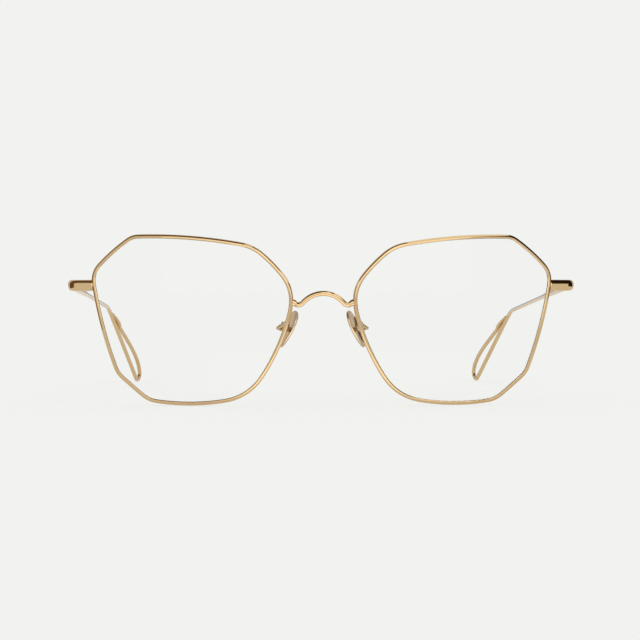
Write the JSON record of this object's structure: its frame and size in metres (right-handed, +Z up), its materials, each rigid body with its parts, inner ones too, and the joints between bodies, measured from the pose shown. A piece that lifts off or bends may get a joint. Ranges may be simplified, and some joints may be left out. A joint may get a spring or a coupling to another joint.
{
  "type": "wire eyeglasses",
  "caption": "Thin wire eyeglasses with cut-corner eyewires, an arched bridge, dished metal nose pads, and folding temples that end in long open wire loops.",
  "frame": {"origin": "on the floor, in the middle under the whole pair as it stands open on its eyewires and temple loops", "axes": "the lenses face -Y, the temples run to +Y, +X is the wearer's left, +Z is up"},
  "size_m": [0.1372, 0.145, 0.0461],
  "materials": {
    "polished_gold": "polished pale gold plating",
    "pad_gold": "polished pale gold plating, satin inside the dish",
    "screw_steel": "fine turned",
    "clear_lens": "clear, polished"
  },
  "bodies": {
    "front": {"right_rim": "polished_gold", "left_rim": "polished_gold", "right_lens": "clear_lens", "left_lens": "clear_lens", "bridge": "polished_gold", "right_endpiece": "polished_gold", "left_endpiece": "polished_gold", "right_closing_block_upper": "polished_gold", "left_closing_block_upper": "polished_gold", "right_closing_block_lower": "polished_gold", "left_closing_block_lower": "polished_gold", "right_rim_screw": "screw_steel", "left_rim_screw": "screw_steel", "right_front_hinge": "polished_gold", "left_front_hinge": "polished_gold", "right_hinge_screw": "screw_steel", "left_hinge_screw": "screw_steel", "right_pad_arm": "polished_gold", "left_pad_arm": "polished_gold", "right_pad_box": "pad_gold", "left_pad_box": "pad_gold", "right_pad_screw": "screw_steel", "left_pad_screw": "screw_steel"},
    "right_temple_body": {"right_temple": "polished_gold", "right_temple_hinge": "polished_gold"},
    "right_pad_body": {"right_nose_pad": "pad_gold", "right_pad_tab": "pad_gold"},
    "left_temple_body": {"left_temple": "polished_gold", "left_temple_hinge": "polished_gold"},
    "left_pad_body": {"left_nose_pad": "pad_gold", "left_pad_tab": "pad_gold"}
  },
  "joints": [
    {"name": "right_temple_fold", "type": "hinge", "parent": "front", "child": "right_temple_body", "pos_m": [-0.06595, -0.05816, 0.03219], "axis": [0, -0.0776, -0.997], "range_deg": [0, 86]},
    {"name": "left_temple_fold", "type": "hinge", "parent": "front", "child": "left_temple_body", "pos_m": [0.06595, -0.05816, 0.03219], "axis": [0, 0.0898, 0.996], "range_deg": [0, 82]},
    {"name": "right_nose_pad_rock", "type": "hinge", "parent": "front", "child": "right_pad_body", "pos_m": [-0.01016, -0.06555, 0.02088], "axis": [-0.3125, 0.9397, 0.1391], "range_deg": [-10, 10]},
    {"name": "left_nose_pad_rock", "type": "hinge", "parent": "front", "child": "left_pad_body", "pos_m": [0.01016, -0.06555, 0.02088], "axis": [0.3125, 0.9397, 0.1391], "range_deg": [-10, 10]}
  ]
}
